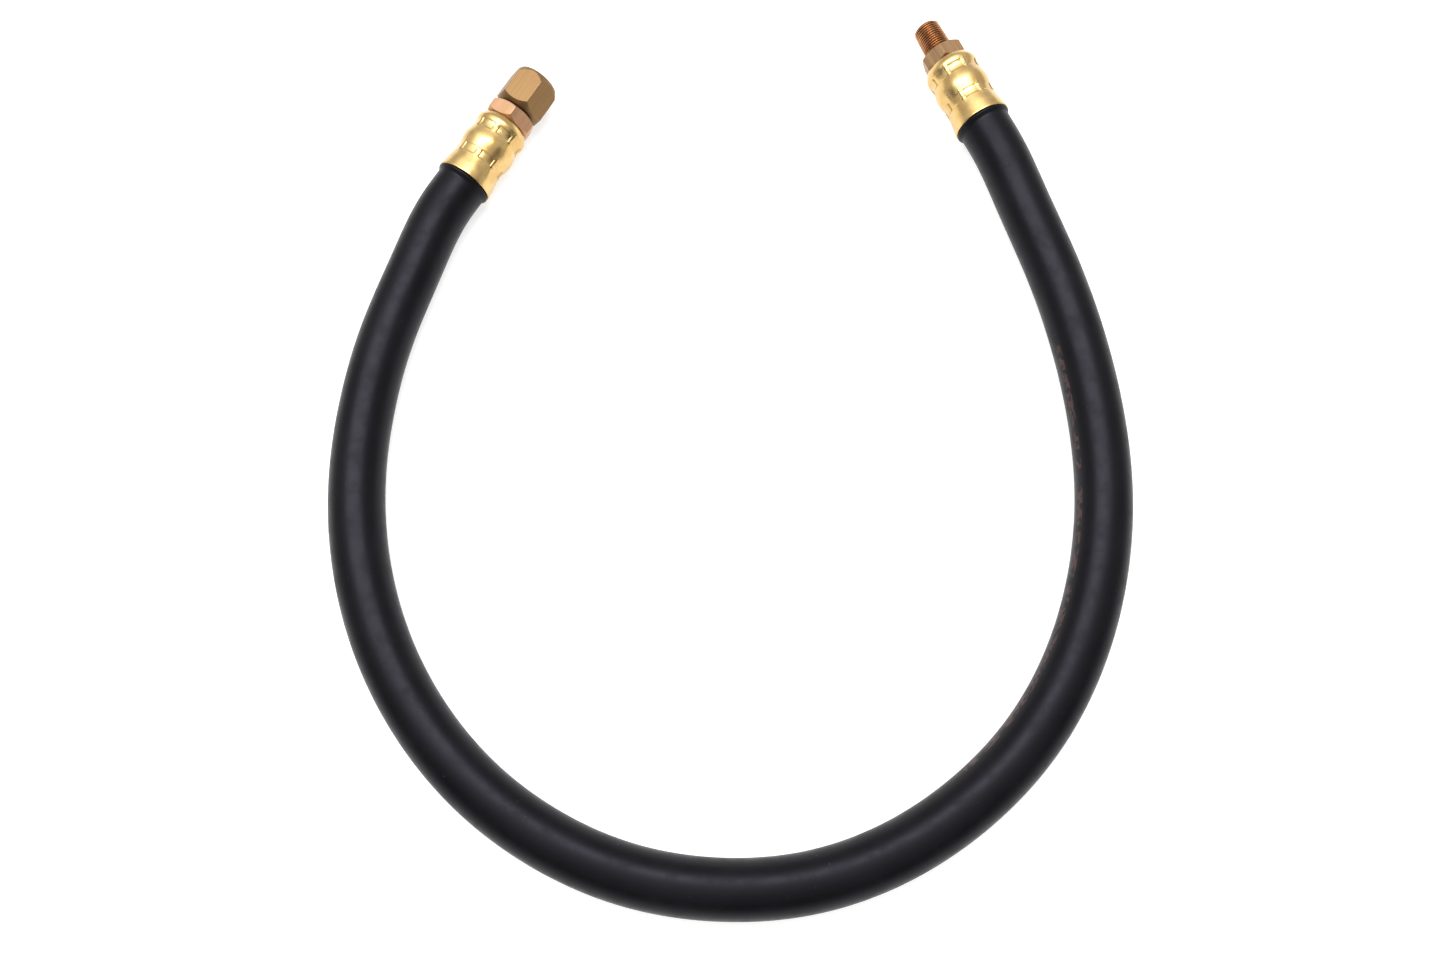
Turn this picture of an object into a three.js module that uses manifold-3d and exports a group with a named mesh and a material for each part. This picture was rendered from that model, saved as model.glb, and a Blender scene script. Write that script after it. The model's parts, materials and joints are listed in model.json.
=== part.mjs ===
// A short rubber hose whip, laid in a U on a flat surface: a braided rubber hose, a crimped brass
// ferrule on each end, a threaded spigot in one ferrule and a swivel nut on the stem in the other.
// Millimetres. X runs across the U, Y from the bend to the open ends, Z up, with the surface at 0.
// The origin is the middle of the footprint.

import * as THREE from "three";
import { mergeVertices } from "three/addons/utils/BufferGeometryUtils.js";
import Module from "manifold-3d";

const wasm = await Module();
wasm.setup();

// ---- Driving dimensions -------------------------------------------------------------------

// Hose: each layer's inner and outer radius, from the bore out. The hose is 19.05 mm (3/4 in)
// outside and 9.5 mm (3/8 in) inside.
const HOSE_RADIUS = 9.525;
const LAYERS = {
  inner_tube: [4.75, 5.65],
  inner_braid: [5.85, 6.2],
  friction_layer: [6.38, 6.65],
  outer_braid: [6.83, 7.18],
  hose_cover: [7.38, HOSE_RADIUS],
};
const HOSE_SIDES = 10;
const HOSE_STEPS = 24;
const LIP_RADIUS = 10.5; // the rubber that the crimp squeezes out of the ferrule's mouth
const LIP_LENGTH = 1.7;

// Ferrule: lengths run along the fitting's axis from the ferrule's mouth towards the tip.
const FERRULE_LENGTH = 27;
const FERRULE_WALL = 1.15;
const MOUTH_RADIUS = 10.6;
const CRIMPED = [
  [MOUTH_RADIUS, 0],
  [10.15, 3.8],
  [9.4, 9.6],
  [10.25, 15.6],
  [9.42, 21.2],
  [9.97, 24.7],
  [8.9, FERRULE_LENGTH],
]; // outer radius and place of the mouth, the belled part, groove, bulge, groove, bulge and end
const FLANGE_THICKNESS = 1.2;
const FLANGE_RADIUS = 5.35; // the ferrule's flange grips the stem here

// Stems: the barbed shank is inside the hose, the hex stands outside the ferrule.
const BORE_RADIUS = 3;
const SHANK_START = 2.5;
const SHANK_LEAD = 0.6; // chamfered end before the first barb
const SHANK_ROOT = 4;
const BARB_RADIUS = 4.4;
const BARB_COUNT = 5;
const BARB_PITCH = 4;
const BARB_SLOPE = 0.8; // share of the pitch over which a barb rises, before it drops back
const HOSE_END = 24.3; // the hose stops here, against the stem's collar
const COLLAR_RADIUS = 6;
const GROOVE_RADIUS = 5.05;
const CLEARANCE = 0.3; // between pieces that touch on the real part
const HEX_FACE = 0.475; // radius of a chamfered hex's end face, as a share of its flats

const MALE_HEX_FLATS = 15;
const MALE_HEX_LENGTH = 6.1;
const MALE_HEX_CHAMFER = 1;
const MALE_THREAD_LENGTH = 12.3;
const MALE_PITCH = 0.941; // 1/8-27 NPT
const MALE_CREST_AT_TIP = 4.99;
const NPT_TAPER = 1 / 32; // growth of the radius along a taper pipe thread
const MALE_THREAD_DEPTH = 0.66;
const MALE_TIP_CHAMFER = 0.9;

const SWIVEL_HEX_FLATS = 17;
const SWIVEL_HEX_LENGTH = 6.1;
const SWIVEL_HEX_CHAMFER = 1.2;
const NECK_RADIUS = 4.9;
const NOSE_RADIUS = 3.7;
const NOSE_CONE = 2.2;
const NOSE_LENGTH = 10; // from the fixed hex to the nose's tip

const NUT_GAP = 0.7; // between the fixed hex and the nut
const NUT_LENGTH = 15.5;
const NUT_REAR_CHAMFER = { face: 7.2, length: 2.5 }; // radius of the flat face, and the length
const NUT_FRONT_CHAMFER = { face: 8, length: 3.4 };
const NUT_ENTRY = 0.9; // chamfer at the mouth of the thread
const NUT_REAR_BORE = 5.2;
const NUT_REAR_LENGTH = 5.2;
const NUT_RELIEF_LENGTH = 2.6;
const NUT_RELIEF_RADIUS = 6.9;
const NUT_SHOULDER = 0.8; // slope from the rear bore out to the relief
const NUT_MINOR_RADIUS = 6.1; // 1/4-18 NPSM
const NUT_THREAD_DEPTH = 0.66;
const NUT_PITCH = 1.411;

const RING_RADIUS = 5.05; // snap ring that holds the nut on the stem's neck
const RING_WIRE = 0.55;
const RING_PLACE = 3.2; // from the fixed hex
const RING_GROOVE = 0.8; // half the groove's width, and its depth about the wire's middle
const RING_OPENING = 0.5; // radians left open between the ring's ends
const RING_START = 0.3; // where the opening ends, in radians from the top

// Facets round the turned and threaded pieces.
const ROUND = 24;
const CHAMFER_ROUND = 36;
const COVER_END_ROUND = 20;
const MALE_THREAD_ROUND = 18;
const NUT_THREAD_ROUND = 20;
const RING_STEPS = 24;

// Each fitting: the middle of its ferrule's mouth, its turn about Z from pointing along +Y, and
// how far the flats and the crimp's jaws are turned from the top about its axis, in degrees.
const AXIS_HEIGHT = MOUTH_RADIUS;
const SWIVEL_END = { x: -90.3, y: 105.2, turn: -34.8, jaws: 13.5, hex: 21.5, nut: 34.2 };
const MALE_END = { x: 103.5, y: 115.0, turn: 21, jaws: 12.5, hex: -15.5 };

// The free hose's middle, from the swivel end round the bend to the male end. The hose comes down
// from the ferrules' height to lie on the surface.
const LEAD = 12; // straight hose outside each mouth
const ROUTE = [
  [-107.9, 72.7, 10.0],
  [-118.1, 47.0, 9.7],
  [-125.2, 19.2, HOSE_RADIUS],
  [-128.1, -8.6, HOSE_RADIUS],
  [-126.0, -37.6, HOSE_RADIUS],
  [-118.6, -64.9, HOSE_RADIUS],
  [-105.9, -90.2, HOSE_RADIUS],
  [-88.1, -112.5, HOSE_RADIUS],
  [-66.1, -130.1, HOSE_RADIUS],
  [-40.4, -142.7, HOSE_RADIUS],
  [-12.4, -148.9, HOSE_RADIUS],
  [16.6, -148.7, HOSE_RADIUS],
  [44.7, -141.2, HOSE_RADIUS],
  [70.0, -127.4, HOSE_RADIUS],
  [91.7, -108.5, HOSE_RADIUS],
  [108.5, -84.9, HOSE_RADIUS],
  [120.0, -58.4, HOSE_RADIUS],
  [126.4, -30.5, HOSE_RADIUS],
  [128.0, -1.7, HOSE_RADIUS],
  [126.0, 26.8, HOSE_RADIUS],
  [121.0, 54.8, 9.7],
  [113.9, 82.3, 10.0],
];

// ---- Materials ----------------------------------------------------------------------------

function material(color, roughness, metalness) {
  return new THREE.MeshStandardMaterial({ color, roughness, metalness });
}

const FINISHES = {
  hose_cover: material(0x262527, 0.55, 0),
  outer_braid: material(0xb9ad93, 0.9, 0),
  friction_layer: material(0x2c2b2c, 0.8, 0),
  inner_braid: material(0xb9ad93, 0.9, 0),
  inner_tube: material(0x1d1d1e, 0.6, 0),
  ferrule: material(0xd9b25e, 0.16, 1),
  stem: material(0xb08a5a, 0.38, 1),
  nut: material(0xa9834f, 0.4, 1),
  ring: material(0xa8a49c, 0.35, 1),
};

// ---- Joining and cutting ------------------------------------------------------------------

function solid(geometry) {
  const bare = geometry.clone();
  bare.deleteAttribute("normal");
  bare.deleteAttribute("uv");
  const merged = mergeVertices(bare, 1e-4);
  return new wasm.Manifold(
    new wasm.Mesh({
      numProp: 3,
      vertProperties: new Float32Array(merged.attributes.position.array),
      triVerts: new Uint32Array(merged.index.array),
    }),
  );
}

function geometryOf(made) {
  const mesh = made.getMesh();
  const geometry = new THREE.BufferGeometry();
  geometry.setAttribute("position", new THREE.BufferAttribute(mesh.vertProperties, 3));
  geometry.setIndex(new THREE.BufferAttribute(mesh.triVerts, 1));
  geometry.computeVertexNormals();
  return geometry;
}

function named(name, geometry, finish) {
  const mesh = new THREE.Mesh(geometry, finish);
  mesh.name = name;
  return mesh;
}

// A cutting shape stands this far clear of the surfaces that it leaves alone.
const ENVELOPE_SPARE = 0.2;
const CUT_SPARE = 1;

// ---- Turned, hexagonal and threaded shapes, all about the Y axis --------------------------

// A turned solid from an outline of [radius, place] pairs. The outline climbs along Y on its
// outer side, so the faces point outwards, and it closes on itself.
function turned(outline, facets = ROUND, turn = 0) {
  const points = [...outline, outline[0]].map(([radius, y]) => new THREE.Vector2(radius, y));
  const geometry = new THREE.LatheGeometry(points, facets);
  return geometry.rotateY(turn);
}

// A hexagonal bar from one place to another, with a corner at an angle from +Z towards +X.
function hexBar(flats, from, to, corner) {
  const radius = flats / Math.sqrt(3);
  const points = Array.from({ length: 6 }, (_, i) => {
    const angle = corner + (i * Math.PI) / 3;
    return new THREE.Vector2(radius * Math.sin(angle), -radius * Math.cos(angle));
  });
  const bar = new THREE.ExtrudeGeometry(new THREE.Shape(points), {
    depth: to - from,
    bevelEnabled: false,
  });
  return bar.rotateX(-Math.PI / 2).translate(0, from, 0);
}

// The envelope of a chamfered hexagonal bar: a face radius and a chamfer length at each end.
function chamferEnvelope(flats, from, to, rear, front) {
  const corner = flats / Math.sqrt(3) + ENVELOPE_SPARE;
  return turned([
    [0, from],
    [rear.face, from],
    [corner, from + rear.length],
    [corner, to - front.length],
    [front.face, to],
    [0, to],
  ], CHAMFER_ROUND);
}

// A right-hand screw along Y, solid to its axis, with its root at radiusAt(y) and its crest depth
// further out. Each turn's profile is a root flat, a flank, a crest flat and a flank back, at
// shares of the pitch.
const THREAD_FLAT = 0.12;
const THREAD_CREST = 0.5;

function screw(radiusAt, pitch, depth, from, to, facets) {
  const profile = [
    [0, 0],
    [THREAD_FLAT, 0],
    [THREAD_CREST, depth],
    [THREAD_CREST + THREAD_FLAT, depth],
  ];
  const corners = profile.length;
  const steps = Math.ceil(((to - from) / pitch) * facets);
  const positions = [];
  for (let i = 0; i <= steps + facets; i++) {
    const angle = (2 * Math.PI * i) / facets;
    for (const [along, out] of profile) {
      const y = from + pitch * (i / facets + along);
      const radius = radiusAt(y) + out;
      positions.push(radius * Math.sin(angle), y, radius * Math.cos(angle));
    }
  }
  const start = positions.length / 3;
  const end = start + 1;
  positions.push(0, from, 0, 0, from + pitch * (steps / facets + 1), 0);

  // A turn's last corner is the next turn's first.
  const at = (i, k) => (k < corners ? i * corners + k : (i + facets) * corners);
  const faces = [];
  for (let i = 0; i < steps; i++) {
    for (let k = 0; k < corners; k++) {
      faces.push(at(i, k), at(i + 1, k), at(i + 1, k + 1));
      faces.push(at(i, k), at(i + 1, k + 1), at(i, k + 1));
    }
  }
  for (let i = 0; i < facets; i++) {
    faces.push(start, at(i + 1, 0), at(i, 0));
    faces.push(end, at(steps + i, 0), at(steps + i + 1, 0));
  }
  for (let k = 0; k < corners; k++) {
    faces.push(start, at(0, k), at(0, k + 1));
    faces.push(end, at(steps, k + 1), at(steps, k));
  }
  const used = new THREE.BufferGeometry();
  used.setAttribute("position", new THREE.Float32BufferAttribute(positions, 3));
  used.setIndex(faces);
  return used.toNonIndexed();
}

// ---- Ferrules -----------------------------------------------------------------------------

const CRIMP_CURVE = new THREE.SplineCurve(
  CRIMPED.map(([radius, y]) => new THREE.Vector2(radius, y)),
);
const CRIMP_POINTS = 14;
const SHORT = 0.2; // the inside stops this far before the flange
const CRIMP = CRIMP_CURVE.getPoints(CRIMP_POINTS).map((p) => [p.x, p.y]);

// The crimped tube's inner radii up to a place, offset inwards from its outside.
function insideCrimp(offset, end) {
  return CRIMP.filter(([, y]) => y < end).map(([radius, y]) => [radius - offset, y]);
}

function ferrule(name, end) {
  const flangeInside = FERRULE_LENGTH - FLANGE_THICKNESS;
  const inside = insideCrimp(FERRULE_WALL, flangeInside - SHORT);
  const rearRadius = inside[inside.length - 1][0];
  const outline = [
    ...CRIMP,
    [FLANGE_RADIUS, FERRULE_LENGTH],
    [FLANGE_RADIUS, flangeInside],
    [rearRadius, flangeInside],
    ...inside.reverse(),
  ];
  const jaws = THREE.MathUtils.degToRad(end.jaws);
  return named(name, turned(outline, ROUND, jaws), FINISHES.ferrule);
}

// ---- Stems --------------------------------------------------------------------------------

const HEX_START = FERRULE_LENGTH + CLEARANCE;

// The outline of a stem from its free end inside the hose up to its hex, outer side only.
function shankOutline() {
  const flange = FERRULE_LENGTH - FLANGE_THICKNESS - CLEARANCE;
  const outline = [
    [BORE_RADIUS, SHANK_START],
    [SHANK_ROOT - SHANK_LEAD / 2, SHANK_START],
  ];
  for (let i = 0; i < BARB_COUNT; i++) {
    const start = SHANK_START + SHANK_LEAD + i * BARB_PITCH;
    outline.push([SHANK_ROOT, start]);
    outline.push([BARB_RADIUS, start + BARB_PITCH * BARB_SLOPE]);
  }
  const last = SHANK_START + SHANK_LEAD + BARB_COUNT * BARB_PITCH;
  outline.push([SHANK_ROOT, last]);
  outline.push([SHANK_ROOT, HOSE_END + CLEARANCE]);
  outline.push([COLLAR_RADIUS, HOSE_END + CLEARANCE]);
  outline.push([COLLAR_RADIUS, flange]);
  outline.push([GROOVE_RADIUS, flange]);
  return outline;
}

function hexHead(flats, from, to, corner, length) {
  const chamfer = { face: flats * HEX_FACE, length };
  const envelope = chamferEnvelope(flats, from, to, chamfer, chamfer);
  const bar = hexBar(flats, from, to, THREE.MathUtils.degToRad(corner));
  return solid(bar).intersect(solid(envelope));
}

function plug(radius, from, to) {
  return solid(turned([[0, from], [radius, from], [radius, to], [0, to]]));
}

function maleStem(end) {
  const hexEnd = HEX_START + MALE_HEX_LENGTH;
  const tip = hexEnd + MALE_THREAD_LENGTH;
  const crestAt = (y) => MALE_CREST_AT_TIP + (tip - y) * NPT_TAPER;
  const rootAt = (y) => crestAt(y) - MALE_THREAD_DEPTH;
  const core = rootAt(hexEnd) - ENVELOPE_SPARE;
  const shank = turned([
    ...shankOutline(),
    [GROOVE_RADIUS, hexEnd - CUT_SPARE],
    [core, hexEnd - CUT_SPARE],
    [core, hexEnd + CUT_SPARE],
    [BORE_RADIUS, hexEnd + CUT_SPARE],
  ]);
  const threaded = solid(screw(
    rootAt, MALE_PITCH, MALE_THREAD_DEPTH, hexEnd - 2 * MALE_PITCH, tip + MALE_PITCH,
    MALE_THREAD_ROUND,
  ));
  const RUN_OUT = [0.3, 0.9]; // the thread rises to its crests between these places
  const envelope = solid(turned([
    [0, hexEnd - CUT_SPARE],
    [rootAt(hexEnd), hexEnd - CUT_SPARE],
    [rootAt(hexEnd), hexEnd + RUN_OUT[0]],
    [crestAt(hexEnd) + ENVELOPE_SPARE, hexEnd + RUN_OUT[1]],
    [crestAt(tip) + ENVELOPE_SPARE, tip - MALE_TIP_CHAMFER - ENVELOPE_SPARE],
    [crestAt(tip) - MALE_TIP_CHAMFER, tip],
    [0, tip],
  ]));
  const hex = hexHead(MALE_HEX_FLATS, HEX_START, hexEnd, end.hex, MALE_HEX_CHAMFER);
  const made = solid(shank)
    .add(hex)
    .add(threaded.intersect(envelope))
    .subtract(plug(BORE_RADIUS, HEX_START - CUT_SPARE, tip + CUT_SPARE));
  return named("male_stem", geometryOf(made), FINISHES.stem);
}

function swivelStem(end) {
  const hexEnd = HEX_START + SWIVEL_HEX_LENGTH;
  const tip = hexEnd + NOSE_LENGTH;
  const ring = hexEnd + RING_PLACE;
  const grooveFloor = RING_RADIUS - RING_GROOVE;
  const core = turned([
    ...shankOutline(),
    [GROOVE_RADIUS, hexEnd - CUT_SPARE],
    [NECK_RADIUS, hexEnd - CUT_SPARE],
    [NECK_RADIUS, ring - RING_GROOVE],
    [grooveFloor, ring - RING_GROOVE],
    [grooveFloor, ring + RING_GROOVE],
    [NECK_RADIUS, ring + RING_GROOVE],
    [NECK_RADIUS, tip - NOSE_CONE],
    [NOSE_RADIUS, tip],
    [BORE_RADIUS, tip],
  ]);
  const made = solid(core)
    .add(hexHead(SWIVEL_HEX_FLATS, HEX_START, hexEnd, end.hex, SWIVEL_HEX_CHAMFER))
    .subtract(plug(BORE_RADIUS, HEX_START - CUT_SPARE, tip + CUT_SPARE));
  return named("swivel_stem", geometryOf(made), FINISHES.stem);
}

// ---- Swivel nut and its ring --------------------------------------------------------------

const FIXED_HEX_END = HEX_START + SWIVEL_HEX_LENGTH;

function swivelNut(end) {
  const rear = FIXED_HEX_END + NUT_GAP;
  const front = rear + NUT_LENGTH;
  const relief = rear + NUT_REAR_LENGTH;
  const threadStart = relief + NUT_RELIEF_LENGTH;
  const ring = FIXED_HEX_END + RING_PLACE;
  const OVERLAP = 0.4; // how far the bore and the tapped thread share their length
  const outside = solid(hexBar(
    SWIVEL_HEX_FLATS, rear, front, THREE.MathUtils.degToRad(end.nut),
  )).intersect(solid(chamferEnvelope(
    SWIVEL_HEX_FLATS, rear, front, NUT_REAR_CHAMFER, NUT_FRONT_CHAMFER,
  )));
  const bore = solid(turned([
    [0, rear - CUT_SPARE],
    [NUT_REAR_BORE, rear - CUT_SPARE],
    [NUT_REAR_BORE, ring - RING_GROOVE],
    [RING_RADIUS + RING_GROOVE, ring - RING_GROOVE],
    [RING_RADIUS + RING_GROOVE, ring + RING_GROOVE],
    [NUT_REAR_BORE, ring + RING_GROOVE],
    [NUT_REAR_BORE, relief],
    [NUT_RELIEF_RADIUS, relief + NUT_SHOULDER],
    [NUT_RELIEF_RADIUS, threadStart],
    [NUT_MINOR_RADIUS - ENVELOPE_SPARE, threadStart + OVERLAP],
    [0, threadStart + OVERLAP],
  ]));
  const entry = solid(turned([
    [0, front - NUT_ENTRY],
    [NUT_MINOR_RADIUS, front - NUT_ENTRY],
    [NUT_MINOR_RADIUS + NUT_ENTRY, front],
    [NUT_MINOR_RADIUS + NUT_ENTRY, front + CUT_SPARE],
    [0, front + CUT_SPARE],
  ]));
  const tapped = solid(screw(
    () => NUT_MINOR_RADIUS, NUT_PITCH, NUT_THREAD_DEPTH, threadStart - OVERLAP - NUT_PITCH, front,
    NUT_THREAD_ROUND,
  ));
  const made = outside.subtract(bore).subtract(entry).subtract(tapped);
  return named("swivel_nut", geometryOf(made), FINISHES.nut);
}

function retainingRing() {
  const ring = FIXED_HEX_END + RING_PLACE;
  const sweep = 2 * Math.PI - RING_OPENING;
  const points = Array.from({ length: RING_STEPS + 1 }, (_, i) => {
    const angle = RING_START + (sweep * i) / RING_STEPS;
    return new THREE.Vector3(RING_RADIUS * Math.sin(angle), ring, RING_RADIUS * Math.cos(angle));
  });
  const wire = circleShape(RING_WIRE, 8);
  const geometry = new THREE.ExtrudeGeometry(wire, {
    steps: RING_STEPS,
    bevelEnabled: false,
    extrudePath: new THREE.CatmullRomCurve3(points),
  });
  return named("nut_retaining_ring", geometry, FINISHES.ring);
}

// ---- Hose ---------------------------------------------------------------------------------

function circlePoints(radius, sides) {
  return Array.from({ length: sides }, (_, i) => {
    const angle = ((i + 0.5) * 2 * Math.PI) / sides;
    return new THREE.Vector2(radius * Math.cos(angle), radius * Math.sin(angle));
  });
}

function circleShape(radius, sides) {
  return new THREE.Shape(circlePoints(radius, sides));
}

function outward(end) {
  const turn = THREE.MathUtils.degToRad(end.turn);
  return new THREE.Vector3(-Math.sin(turn), Math.cos(turn), 0);
}

function onAxis(end, along) {
  return new THREE.Vector3(end.x, end.y, AXIS_HEIGHT).addScaledVector(outward(end), along);
}

const HOSE_PATH = new THREE.CatmullRomCurve3([
  onAxis(SWIVEL_END, HOSE_END),
  onAxis(SWIVEL_END, 0),
  onAxis(SWIVEL_END, -LEAD),
  ...ROUTE.map(([x, y, z]) => new THREE.Vector3(x, y, z)),
  onAxis(MALE_END, -LEAD),
  onAxis(MALE_END, 0),
  onAxis(MALE_END, HOSE_END),
]);

function hoseLayer([inner, outer]) {
  const ring = circleShape(outer, HOSE_SIDES);
  ring.holes.push(new THREE.Path(circlePoints(inner, HOSE_SIDES)));
  return new THREE.ExtrudeGeometry(ring, {
    steps: HOSE_STEPS,
    bevelEnabled: false,
    extrudePath: HOSE_PATH,
  });
}

// The cover swells into a lip at the ferrule's mouth, and is squeezed thin under the crimp.
function coverEnd() {
  const SQUEEZE_GAP = 0.2;
  const LIP_FOOT = 0.98; // the lip springs from just inside the hose's outside
  const LIP_CROWN = 0.45; // share of its length over which the lip is at its full radius
  const inner = LAYERS.hose_cover[0];
  const squeezed = insideCrimp(FERRULE_WALL + SQUEEZE_GAP, HOSE_END - CUT_SPARE);
  return turned([
    [inner, -LIP_LENGTH],
    [HOSE_RADIUS * LIP_FOOT, -LIP_LENGTH],
    [LIP_RADIUS, -LIP_LENGTH * LIP_CROWN],
    [LIP_RADIUS, -CLEARANCE],
    ...squeezed,
    [squeezed[squeezed.length - 1][0], HOSE_END],
    [inner, HOSE_END],
  ], COVER_END_ROUND);
}

function hoseCover(ends) {
  let cover = solid(hoseLayer(LAYERS.hose_cover));
  for (const end of ends) {
    const place = fittingPlace(end);
    const beyond = plug(HOSE_RADIUS * 1.5, -LIP_LENGTH / 2, HOSE_END + 5 * CUT_SPARE);
    cover = cover.subtract(beyond.transform(place.elements));
    cover = cover.add(solid(coverEnd().applyMatrix4(place)));
  }
  return named("hose_cover", geometryOf(cover), FINISHES.hose_cover);
}

// ---- Assembly -----------------------------------------------------------------------------

function fittingPlace(end) {
  const turn = new THREE.Matrix4().makeRotationZ(THREE.MathUtils.degToRad(end.turn));
  return turn.setPosition(end.x, end.y, AXIS_HEIGHT);
}

function fitting(end, pieces) {
  const group = new THREE.Group();
  group.applyMatrix4(fittingPlace(end));
  group.add(...pieces);
  return group;
}

const hose = new THREE.Group();
hose.add(hoseCover([SWIVEL_END, MALE_END]));
for (const name of ["outer_braid", "friction_layer", "inner_braid", "inner_tube"]) {
  hose.add(named(name, hoseLayer(LAYERS[name]), FINISHES[name]));
}

const whip = new THREE.Group();
whip.add(hose);
whip.add(fitting(SWIVEL_END, [
  ferrule("swivel_ferrule", SWIVEL_END),
  swivelStem(SWIVEL_END),
  swivelNut(SWIVEL_END),
  retainingRing(),
]));
whip.add(fitting(MALE_END, [ferrule("male_ferrule", MALE_END), maleStem(MALE_END)]));

export default whip;
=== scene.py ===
import json
import math

import bpy
import numpy as np
from mathutils import Matrix, Vector


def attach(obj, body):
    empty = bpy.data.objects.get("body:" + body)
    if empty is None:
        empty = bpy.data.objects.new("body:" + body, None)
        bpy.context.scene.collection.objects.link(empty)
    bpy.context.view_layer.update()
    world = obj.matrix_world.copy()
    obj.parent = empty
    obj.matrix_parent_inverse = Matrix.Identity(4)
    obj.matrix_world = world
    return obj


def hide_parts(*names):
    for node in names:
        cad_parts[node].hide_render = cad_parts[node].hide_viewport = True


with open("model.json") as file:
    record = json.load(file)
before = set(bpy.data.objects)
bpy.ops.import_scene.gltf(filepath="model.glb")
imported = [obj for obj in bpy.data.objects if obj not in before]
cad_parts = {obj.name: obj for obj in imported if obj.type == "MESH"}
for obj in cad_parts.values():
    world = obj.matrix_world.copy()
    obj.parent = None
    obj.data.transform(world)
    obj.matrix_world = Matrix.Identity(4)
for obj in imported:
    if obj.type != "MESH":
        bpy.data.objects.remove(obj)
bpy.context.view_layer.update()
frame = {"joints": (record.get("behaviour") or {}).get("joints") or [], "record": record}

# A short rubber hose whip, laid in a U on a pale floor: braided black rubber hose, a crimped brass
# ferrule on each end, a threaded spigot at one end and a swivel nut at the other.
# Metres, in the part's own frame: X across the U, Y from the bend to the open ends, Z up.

MM = 0.001

# ---- Sizes --------------------------------------------------------------------------------

# Hose: outer and inner radius of each layer.
HOSE_RADIUS = 9.525 * MM
LAYERS = {
    "inner_tube": (4.75 * MM, 5.65 * MM),
    "inner_braid": (5.85 * MM, 6.2 * MM),
    "friction_layer": (6.38 * MM, 6.65 * MM),
    "outer_braid": (6.83 * MM, 7.18 * MM),
}
COVER_INSIDE = 7.38 * MM
HOSE_SIDES = 56
LAYER_SIDES = 32
LAYER_STEP = 2.5 * MM

# Fittings: places run from the ferrule's mouth towards the tip.
FERRULE_LENGTH = 27 * MM
FERRULE_WALL = 1.15 * MM
MOUTH_RADIUS = 10.6 * MM
CRIMP = [
    (0, 10.6), (3.8, 10.15), (9.6, 9.4), (15.6, 10.25), (21.2, 9.42), (24.7, 9.97), (27, 8.9),
]  # place and radius of the mouth, the bell, groove, bulge, groove, bulge and end, in mm
GROOVES = (9.6 * MM, 21.2 * MM)
LIP = [
    (0.02, 9.35), (0.12, 10.0), (0.3, 10.32), (0.6, 10.42), (1.0, 10.3), (1.5, 9.95),
    (2.1, 9.62), (2.8, 9.525),
]  # place outside the mouth and radius of the cover's squeezed-out lip, in mm
FLANGE_THICKNESS = 1.2 * MM
FLANGE_RADIUS = 5.35 * MM
HOSE_END = 24.3 * MM
HEX_START = 27.3 * MM
HEX_LENGTH = 6.1 * MM
HEX_END = HEX_START + HEX_LENGTH
HEX_FACE = 0.475  # a chamfered end face's radius, as a share of the width across the flats
BORE_RADIUS = 3 * MM

MALE_HEX_FLATS = 15 * MM
MALE_PITCH = 0.941 * MM
MALE_THREAD_LENGTH = 12.3 * MM
MALE_THREAD_DEPTH = 0.66 * MM
MALE_CREST_AT_TIP = 4.99 * MM
NPT_TAPER = 1 / 32

SWIVEL_HEX_FLATS = 17 * MM
NECK_RADIUS = 4.9 * MM
NOSE_LENGTH = 10 * MM
NUT_GAP = 0.7 * MM
NUT_LENGTH = 15.5 * MM
NUT_MINOR_RADIUS = 6.1 * MM
NUT_PITCH = 1.411 * MM
NUT_THREAD_DEPTH = 0.66 * MM

RING_PLACE = HEX_END + 3.2 * MM
RING_RADIUS = 5.05 * MM  # to the middle of its wire
RING_WIRE = 0.55 * MM
RING_GROOVE = 0.8 * MM  # from the wire's middle to the grooves' sides and to their floors

# Turns about each fitting's axis, from the top: the crimp's jaws and the hexagons' corners.
SWIVEL_JAWS, SWIVEL_HEX_TURN, NUT_TURN = (math.radians(a) for a in (13.5, 21.5, 34.2))
MALE_JAWS, MALE_HEX_TURN = (math.radians(a) for a in (12.5, -15.5))

# ---- Places, from the frame ---------------------------------------------------------------

mounts = {m["name"]: m for m in frame["record"]["mounts"]}
nut_joint = frame["joints"][0]
NUT_MIDDLE = HEX_END + NUT_GAP + NUT_LENGTH / 2
MALE_TIP = HEX_END + MALE_THREAD_LENGTH
MALE_FACE_POINT = 3.55 * MM  # the mount's point stands this far over the spigot's axis

swivel_axis = Vector(nut_joint["axis"]).normalized()
swivel_mouth = Vector(nut_joint["pos_m"]) - swivel_axis * NUT_MIDDLE
male_axis = Vector(mounts["male_thread_end"]["axis"]).normalized()
male_mouth = (
    Vector(mounts["male_thread_end"]["pos_m"])
    - male_axis * MALE_TIP
    - Vector((0, 0, MALE_FACE_POINT))
)


def fitting_place(mouth, axis):
    """The placing of a fitting that is built along +Y from its mouth at the origin."""
    turn = math.atan2(-axis.x, axis.y)
    return Matrix.Translation(mouth) @ Matrix.Rotation(turn, 4, "Z")


SWIVEL_PLACE = fitting_place(swivel_mouth, swivel_axis)
MALE_PLACE = fitting_place(male_mouth, male_axis)

# ---- Camera -------------------------------------------------------------------------------

CAMERA_ELEVATION = math.radians(73.648)
CAMERA_ROLL = math.radians(-3.963)
CAMERA_DISTANCE = 0.41144
CAMERA_TARGET = Vector((-0.0024, -0.01675, 0.009525))
CAMERA_LENS = 29.896  # on a 36 mm wide sensor


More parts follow.
